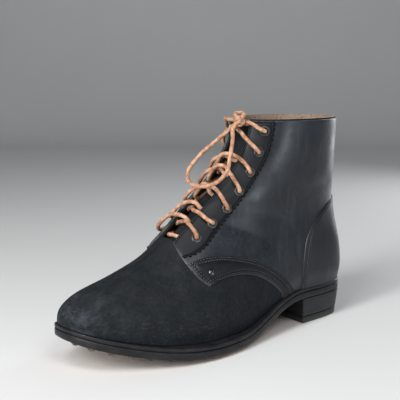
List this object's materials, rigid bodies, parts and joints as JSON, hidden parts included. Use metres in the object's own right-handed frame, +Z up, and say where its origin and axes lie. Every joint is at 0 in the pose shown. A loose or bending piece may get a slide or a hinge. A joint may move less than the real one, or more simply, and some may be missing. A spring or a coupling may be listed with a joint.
{
  "type": "hobnailed leather ankle boot",
  "caption": "Left ankle boot of black leather with open lacing, side bands, a raised heel and a studded leather sole.",
  "frame": {"origin": "on the floor, under the middle of the heel, centre of the heel rest", "axes": "+X along the boot from heel to toe, +Y to the outer (lateral) side of this left boot, +Z up"},
  "size_m": [0.2865, 0.1046, 0.1897],
  "materials": {
    "black_leather": "waxed smooth leather, soft sheen",
    "rough_leather": "matt flesh-out leather, lightly scuffed",
    "sole_edge": "black inked leather edge",
    "sole_leather": "tan vegetable-tanned sole leather",
    "lining_leather": "natural unlined flesh side",
    "lace_leather": "natural tan leather lace",
    "steel_studs": "dull forged steel",
    "black_eyelet": "black enamel worn grey on the ring"
  },
  "bodies": {
    "root": {"outsole": "sole_leather", "midsole": "sole_edge", "insole": "lining_leather", "heel_lifts": "sole_edge", "heel_top_piece": "sole_leather", "upper": "black_leather", "tongue": "black_leather", "eyelet_outer_1": "black_eyelet", "eyelet_outer_2": "black_eyelet", "eyelet_outer_3": "black_eyelet", "eyelet_outer_4": "black_eyelet", "eyelet_outer_5": "black_eyelet", "eyelet_outer_6": "black_eyelet", "eyelet_outer_7": "black_eyelet", "eyelet_inner_1": "black_eyelet", "eyelet_inner_2": "black_eyelet", "eyelet_inner_3": "black_eyelet", "eyelet_inner_4": "black_eyelet", "eyelet_inner_5": "black_eyelet", "eyelet_inner_6": "black_eyelet", "eyelet_inner_7": "black_eyelet", "lace_crossing_1": "lace_leather", "lace_crossing_2": "lace_leather", "lace_crossing_3": "lace_leather", "lace_crossing_4": "lace_leather", "lace_crossing_5": "lace_leather", "lace_crossing_6": "lace_leather", "lace_lowest_bar": "lace_leather", "lace_top_outer": "lace_leather", "lace_top_inner": "lace_leather", "bow_knot": "lace_leather", "bow_long_loop": "lace_leather", "bow_small_loop": "lace_leather", "rivet_outer": "steel_studs", "rivet_inner": "steel_studs"}
  },
  "joints": []
}
